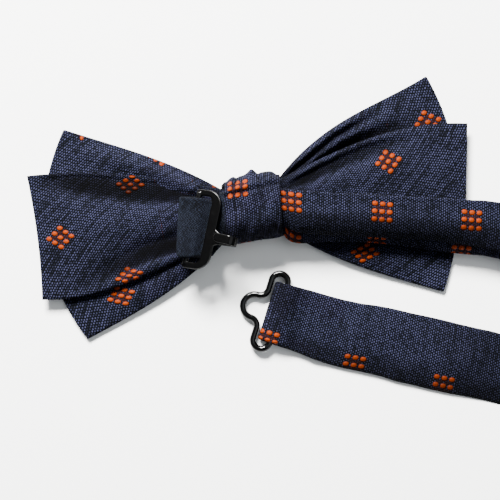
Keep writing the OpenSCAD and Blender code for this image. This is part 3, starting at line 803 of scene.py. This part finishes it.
# Heights of the two layers of band in the knot.
HIGH, LOW = 11.1, 9.95
hook_loop = [
    hung(0, 5.4, LOW, 0, 10.4, 0.45, -50),
    hung(-5, 5.5, LOW, 4, 10.4, 0.45, -50),
    hung(-8, 5.5, 8.9, 9, 11.6, 0.45, -34),
    row(hook_pt(5.6, -1.05), 12, 0, 14.2, 0.5, -8),
    row(hook_pt(4.2, -1.3, 0.2), 14, 0, 15.4),
    row(hook_pt(2, -1.5, 0.4), 12, 0, 16.2),
    row(hook_pt(0, -1.5, 0.6), BAND_TURN, 0, 16.2)]
for a in range(-90, 91, 30):
    u, w = on_arc(a, HOOK_BEND)
    hook_loop.append(row(hook_pt(-1.9 - u, w, 0.3 - 0.3 * math.sin(math.radians(a))), BAND_TURN, 0, 16.2))
hook_loop += [
    row(hook_pt(0, 1.5), 13, 0, 16.2),
    row(hook_pt(1.4, 1.3), 17, 0, 16.2),
    row(hook_pt(2.5, 0.45), 20, 0, 15.8),
    row(hook_pt(3.3, 0.05), 20, 0, 15.4),
    row(hook_pt(4.6, -0.1), 18, 0, 15),
    row(hook_pt(5.8, 0.15), 13, 0, 14.4, 0.5, 8),
    hung(-8, 5.2, 10.0, 9, 11.4, 0.46, 34),
    hung(-5, 5.3, HIGH, 4, 10.6, 0.46, 46)]
upper_run = [hung(*q) for q in (
    (0, 5.1, HIGH, 0, 10.6, 0.46, 48), (7.6, 4.3, HIGH, 2, 10.8, 0.46, 50),
    (12, 3.1, 11.2, 8, 11.6, 0.46, 47), (17, 1.9, 11.3, 11, 12, 0.44, 62),
    (25.7, 0.1, 11.1, 11, 12, 0.42, 66), (34.5, -1.6, 10.8, 11, 12.1, 0.42, 66),
    (43.4, -3.2, 10.3, 11, 12.2, 0.42, 66), (52.3, -4.8, 9.6, 11, 12.4, 0.42, 62),
    (65.5, -7.6, 8.6, 11.5, 13.4, 0.5, 40), (72.5, -9.2, 7.9, 11.5, 16.4, 0.5, 22))]
slide_run = [row(run_pt(i / 8), RUN_TURN, 0, BAND_W) for i in range(9)]
far_loop = [banked(*q) for q in (
    (120, -27.5, 12.5, 20), (129, -29.8, 15, 46), (139, -33, 21, 70), (148, -38, 38, 82),
    (154.3, -45.4, 64, 85), (156, -54.4, 96, 85), (151.8, -62.6, 130, 85), (143, -67.8, 158, 82),
    (132, -69.6, 173, 70), (120, -69.4, 183, 48), (108, -67.4, 189, 24), (96, -64.6, 192, 10),
    (82, -60.4, 195, 4), (70, -55.6, 197, 1), (60, -51.4, 198, 0))]
lower_run = [
    row((49, -47.2, 0.7), 199.5, 0, 18.8),
    row((38, -43.0, 0.9), 200.5, 0, 18.8),
    row((27.3, -38.7, 1.0), 202, 0, 18.4)]
eye_end = [row(eye_pt(u, z), EYE_ROW_TURN, 0, w) for u, z, w in (
    (16.5, 1.1, 17.9), (13.6, 1.62, 17.5), (10, 1.65, 17.2), (6.6, 1.9, 17), (3.6, 2.9, 16.6),
    (1.5, 3.4, 16.4), (-1.45, 3.4, 16.4))]
for a in (60, 30, 0, -30, -60):
    u, w = on_arc(a, EYE_BEND)
    eye_end.append(row(eye_pt(-EYE_BEND - u, EYE_AT[2] + w), EYE_ROW_TURN, 0, 16.4))
eye_end += [row(eye_pt(u, 0.5), EYE_ROW_TURN, 0, w) for u, w in ((-1.45, 16.4), (3, 16.6), (13, 17.2))]
band_route = hook_loop + upper_run + slide_run + far_loop + lower_run + eye_end
DIR = Vector(RUN_TO) - Vector(RUN_FROM)
DIR.normalize()


def shifted(p, d, z):
    """A point moved along the slide's run and up."""
    return tuple(Vector(p) + DIR * d + Vector((0, 0, z)))


return_route = [
    hung(0.02, 5.4, LOW, 0, 10.6, 0.45, 50),
    hung(7.2, 4.6, LOW, 2, 11.2, 0.4, 44),
    hung(9.4, 3.3, 9.6, 5, 13.0, 0.3, 46)]
for k, r in enumerate(upper_run[2:-2]):
    w, drop = (13.6, 2.0) if k == 0 else (13.8, 2.3)
    # Near the middle of the wing the leg slips further in under the band.
    tucked = 1.7 * smooth(10, 22, r[0]) * (1 - smooth(36, 50, r[0]))
    return_route.append(row((r[0], r[1] - 1.1 + tucked - (w - r[5]) / 2, r[2] - drop), r[3], 0, w, 0.26, 48))
last = upper_run[-2]
before_run = tuple(a + b for a, b in zip(run_pt(-0.13), (0, -0.3, -1.4)))
return_route += [
    row((last[0], last[1] - 0.9, last[2] - 1.6), 11.5, 0, 15.2, 0.4, 40),
    row(before_run, RUN_TURN, 0, 17, 0.5, 16),
    row(shifted(run_pt(0), 0, -1.25), RUN_TURN, 0, 17.6),
    row(shifted(run_pt(SLIDE_AT), -10.4, -1.22), RUN_TURN, 0, 17.6)]


def refine(route, step):
    """Rows about step apart, through the given ones, on a smooth curve."""
    q = [np.array(r, dtype=float) for r in route]
    out = []
    for i in range(len(q) - 1):
        a, b = q[max(i - 1, 0)], q[min(i + 2, len(q) - 1)]
        length = np.linalg.norm(q[i + 1][:3] - q[i][:3])
        n = max(2, round(length / step))
        la = max(np.linalg.norm(q[i][:3] - a[:3]), 1e-6)
        lb = max(np.linalg.norm(b[:3] - q[i + 1][:3]), 1e-6)
        m0 = (q[i + 1] - a) / (length + la) * length if i else q[i + 1] - q[i]
        m1 = (b - q[i]) / (length + lb) * length if i < len(q) - 2 else q[i + 1] - q[i]
        for k in range(n):
            t = k / n
            h = (2 * t ** 3 - 3 * t * t + 1, t ** 3 - 2 * t * t + t, -2 * t ** 3 + 3 * t * t, t ** 3 - t * t)
            out.append(h[0] * q[i] + h[1] * m0 + h[2] * q[i + 1] + h[3] * m1)
    out.append(q[-1])
    return out


def cupped(w, flat, cup, s):
    """Across, up and bend of a row's cloth at share s from its lower (-1) to its upper edge (1)."""
    edge = 1 - 2 * flat
    if s >= edge or abs(cup) < 1:
        return s * w / 2, 0.0, 0.0
    radius = w * (1 - flat) / math.radians(cup)
    t = math.radians(cup) * (edge - s) / (edge + 1)
    return edge * w / 2 - radius * math.sin(t), -radius * (1 - math.cos(t)), t


ROW_STEP = 0.9
ACROSS_STEPS = 26
# Each row of points goes once round the band: over one face and back over the other.
ROW_POINTS = 2 * (ACROSS_STEPS + 1)
# Width of the band's rolled edge, and where its seam line lies in from the edge.
BAND_ROLL = 0.5
SEAM_IN = 1.3


def band(name, route, thick, motif_of, body, wrinkle=1.0):
    """A band of folded cloth along a route, with rolled edges, seam lines and soft dimples."""
    rows = refine(route, ROW_STEP)
    n = len(rows)
    place = np.array([r[:3] for r in rows])
    along = np.concatenate([[0], np.cumsum(np.linalg.norm(np.diff(place, axis=0), axis=1))])
    points, weave, motif, shade = [], [], [], []
    for i in range(n):
        turned, rolled, w, flat, cup = rows[i][3:]
        t = Vector(place[min(i + 1, n - 1)] - place[max(i - 1, 0)]).normalized()
        a, roll = math.radians(turned), math.radians(rolled)
        side = Vector((math.sin(a) * math.cos(roll), math.cos(a) * math.cos(roll), math.sin(roll)))
        up = t.cross(side).normalized()
        at = Vector(place[i])
        on_table = smooth(14, 24, at.x) * (1 - smooth(52, 66, at.x))
        for face in (1, -1):
            for j in range(ACROSS_STEPS + 1):
                f = j / ACROSS_STEPS
                # Points crowd towards the edges.
                s = -math.cos(math.pi * f) * 0.35 + (2 * f - 1) * 0.65
                s *= -face
                across, lift, bend = cupped(w, flat, cup, s)
                normal = math.cos(bend) * up - math.sin(bend) * side
                from_edge = (1 - abs(s)) * w / 2
                roll_in = math.sqrt(max(0.0, 1 - max(0.0, 1 - from_edge / BAND_ROLL) ** 2))
                seam = -0.10 * bell(from_edge - SEAM_IN, 0.35)
                dimple = 0.13 * noise(along[i] * 0.19, s * 1.7 + face, 21)
                dimple += 0.05 * noise(along[i] * 0.8, s * 5, 22)
                dimple *= wrinkle * smooth(0.2, 2, from_edge)
                d = face * (thick / 2 * max(roll_in, 0.06)) + seam * face + dimple * 0.8
                side_wave = 0.12 * wrinkle * noise(along[i] * 0.22, 3.0 + (s > 0) * 7, 23)
                side_wave *= abs(s) ** 3 * (1 if s > 0 else -1)
                arch = 0.0
                if route is band_route and at.y < -30:
                    # The lower run rises in a soft arch, nearer its upper edge.
                    arch = 1.5 * on_table * (1 - ((s + 0.12) / 1.12) ** 2)
                    arch += 0.35 * noise(at.x * 0.16, s * 1.5, 31) * on_table * (1 - s * s)
                    # Painted shade: darker towards the edge away from the key lamp, and from x = 34 mm on.
                    dark = mix(1.1, 0.42, smooth(0.15, 0.8, s)) * mix(1, 0.6, smooth(34, 56, at.x))
                elif route is band_route and at.x >= -7:
                    # Painted shade: darker over the band's lower, bent-over part.
                    dark = mix(0.5, 1.1, smooth(-0.2, 0.3, s))
                else:
                    dark = 1.0
                # Painted shade: darker along both rolled edges.
                shade.append(dark * mix(0.75, 1, smooth(0, 0.9, from_edge)))
                p = at + side * (across + side_wave) + up * (lift + arch) + normal * d
                points.append((p.x, p.y, max(p.z, 0.0)))
                weave.append((s * w / 2, along[i]))
                motif.append(motif_of(along[i], s * w / 2, w))
    faces = tube_faces(n, ROW_POINTS)
    obj = add_mesh(name, points, faces, weave, motif, band_cloth, body, shade)
    return obj, along, rows


# The search for a place starts this far along the band, and looks this far out from its middle.
PAST_LOOP = 40
WITHIN = 14
probe_rows = refine(band_route, ROW_STEP)
probe_gaps = [np.linalg.norm(b[:3] - a[:3]) for a, b in zip(probe_rows, probe_rows[1:])]
probe_at = np.concatenate([[0], np.cumsum(probe_gaps)])


def station(x, y):
    """How far along the band a place seen from above lies, past the hook's loop."""
    best = None
    for r, s in zip(probe_rows, probe_at):
        a = math.radians(r[3])
        dx, dy = x - r[0], y - r[1]
        side = (math.sin(a), math.cos(a))
        out = dx * side[0] + dy * side[1]
        off = math.hypot(dx - out * side[0], dy - out * side[1])
        if s > PAST_LOOP and (best is None or off < best[0]) and abs(out) < WITHIN:
            best = (off, s)
    return best[1]


# How far along the band the first square of its upper and of its lower run is.
UPPER_S = station(33.8, -6.7)
LOWER_S = station(21.4, -43.8)


def band_motif(s, q, w):
    """The row of squares moves slowly across the band, and is fitted to its two runs."""
    f = smooth(UPPER_S + 45, LOWER_S - 60, s)
    upper_q = w / 2 - mix(3.5, 5.6, min(1, max(0, (s - UPPER_S + 22) / 46)))
    lower_q = 7.9
    upper_p = s - UPPER_S
    lower_p = s - LOWER_S + CELL * round((LOWER_S - UPPER_S) / CELL)
    return (mix(upper_p, lower_p, f) / CELL, (q - mix(upper_q, lower_q, f)) / CELL)


neckband, band_along, band_rows = band("neckband_cloth", band_route, 1.0, band_motif, ROOT)
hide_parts("neckband_outer_ply", "neckband_interlining", "neckband_inner_ply")
neckband.data.materials.append(loop_cloth)
# The band shows its plain herringbone side where it goes round the hook.
loop_end = min(i for i, s in enumerate(band_along) if band_rows[i][0] > -7.5 and s > 12)
for polygon in neckband.data.polygons:
    if min(polygon.vertices) // ROW_POINTS < loop_end:
        polygon.material_index = 1


def return_motif(s, q, w):
    """The leg shows only a narrow part of its squares, below the band's edge."""
    return ((s - 11.6) / 23.0, (q + w / 2 - 2.2) / CELL)


return_leg, leg_along, _ = band("return_leg_cloth", return_route, 0.95, return_motif, None, 0.8)
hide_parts("neckband_return_leg")

# The end of the band, turned round the adjuster's middle bar.
SLIDE_PITCH = 6.6
BAR_BELOW_RUN = 2.0
slide_frame = (Matrix.Translation(Vector(run_pt(SLIDE_AT)))
               @ Matrix.Rotation(math.radians(-RUN_TURN), 4, "Z")
               @ Matrix.Rotation(math.radians(SLIDE_PITCH), 4, "Y")
               @ Matrix.Translation((0, 0, -BAR_BELOW_RUN)))


def return_end():
    """The band's end: it comes from the leg, goes once round the bar and is sewn to itself."""
    bore, wall, tail, half_w, across_steps = 0.78, 0.62, 10.0, 8.75, 20
    middle = bore + wall / 2
    path = [(x, 0.8) for x in (-tail, -8, -6, -4, -2.4, -1.2)]
    for a in range(0, 300, 20):
        path.append((middle * math.sin(math.radians(a)), middle * math.cos(math.radians(a))))
    path += [(-1.35, -0.02), (-2.4, 0.16), (-5, 0.17), (-8, 0.17), (-tail, 0.17)]
    points, weave, motif = [], [], []
    s, previous = 0.0, path[0]
    for i, (x, z) in enumerate(path):
        s += math.dist(previous, (x, z))
        previous = (x, z)
        x0, z0 = path[max(i - 1, 0)]
        x1, z1 = path[min(i + 1, len(path) - 1)]
        k = math.hypot(x1 - x0, z1 - z0)
        nx, nz = -(z1 - z0) / k, (x1 - x0) / k
        for face in (1, -1):
            for j in range(across_steps + 1):
                v = (2 * j / across_steps - 1) * -face
                y = v * half_w
                edge = math.sqrt(max(0.02, 1 - abs(v) ** 14))
                half = wall / 2 * edge * face
                points.append(tuple(slide_frame @ Vector((x + nx * half, y, z + nz * half))))
                weave.append((s, y))
                motif.append((s / CELL + 0.5, y / CELL))
    faces = tube_faces(len(path), 2 * (across_steps + 1))
    obj = add_mesh("return_end_cloth", points, faces, weave, motif, band_cloth, "slide")
    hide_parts("neckband_return_end")
    return obj


end_cloth = return_end()

# ---------------------------------------------------------------- CAD pieces that stay


def finish_node(name, material, bevel=None):
    """Gives a CAD node its material, and a fine bevel of the given width in metres."""
    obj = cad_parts[name]
    for k in range(max(1, len(obj.material_slots))):
        if obj.material_slots:
            obj.material_slots[k].link = "OBJECT"
            obj.material_slots[k].material = material
        else:
            obj.data.materials.append(material)
    if bevel:
        m = obj.modifiers.new("edges", "BEVEL")
        m.width = bevel
        m.segments = 3
        m.limit_method = "ANGLE"
        m.angle_limit = math.radians(40)
        m.harden_normals = True


finish_node("hook", hook_black)
# The stamped hook is tumbled before it is lacquered, so all its edges are round.
TUMBLE_VOXEL = 0.00011
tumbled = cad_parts["hook"]
remesh = tumbled.modifiers.new("even", "REMESH")
remesh.mode = "VOXEL"
remesh.voxel_size = TUMBLE_VOXEL
remesh.use_smooth_shade = True
rounded = tumbled.modifiers.new("rounded", "SMOOTH")
rounded.factor = 0.6
rounded.iterations = 14
finish_node("eye", wire_black)
finish_node("adjuster_slide", slide_black, 0.00008)
for name in ("gather_thread", "knot_closing_stitches", "slide_end_stitches", "eye_end_stitches"):
    finish_node(name, dark_thread)
finish_node("knot_interlining", lining)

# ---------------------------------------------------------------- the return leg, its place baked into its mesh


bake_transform(return_leg)

# ---------------------------------------------------------------- room

floor = bpy.data.meshes.new("floor")
floor.from_pydata([(-2, -2, 0), (2, -2, 0), (2, 2, 0), (-2, 2, 0)], [], [(0, 1, 2, 3)])
floor_obj = bpy.data.objects.new("floor", floor)
bpy.context.scene.collection.objects.link(floor_obj)
# A hair below the cloth, so that the two don't share a plane.
floor_obj.location.z = -0.00002
paper = Nodes("paper")
floor.materials.append(paper.set(Base_Color=(0.87, 0.88, 0.875), Roughness=0.6, Specular_IOR_Level=0.1))

world = bpy.data.worlds.new("room")
bpy.context.scene.world = world
world.use_nodes = True
background = world.node_tree.nodes["Background"]
background.inputs["Color"].default_value = (0.93, 0.96, 1.0, 1)
background.inputs["Strength"].default_value = 0.24


def lamp(name, size, power, at, color):
    """A softbox that shines at the object from the given place."""
    light = bpy.data.lights.new(name, "AREA")
    light.shape = "RECTANGLE"
    light.size, light.size_y = size
    light.energy = power
    light.color = color
    obj = bpy.data.objects.new(name, light)
    bpy.context.scene.collection.objects.link(obj)
    obj.location = at
    obj.rotation_euler = (-Vector(at)).to_track_quat("-Z", "Y").to_euler()


# Size in metres, power in watts, place and colour.
lamp("key", (0.35, 0.25), 78.0, (-0.12, 0.60, 0.60), (1.0, 0.99, 0.975))
lamp("fill", (0.7, 0.7), 3.0, (0.35, -0.05, 0.9), (0.93, 0.97, 1.0))
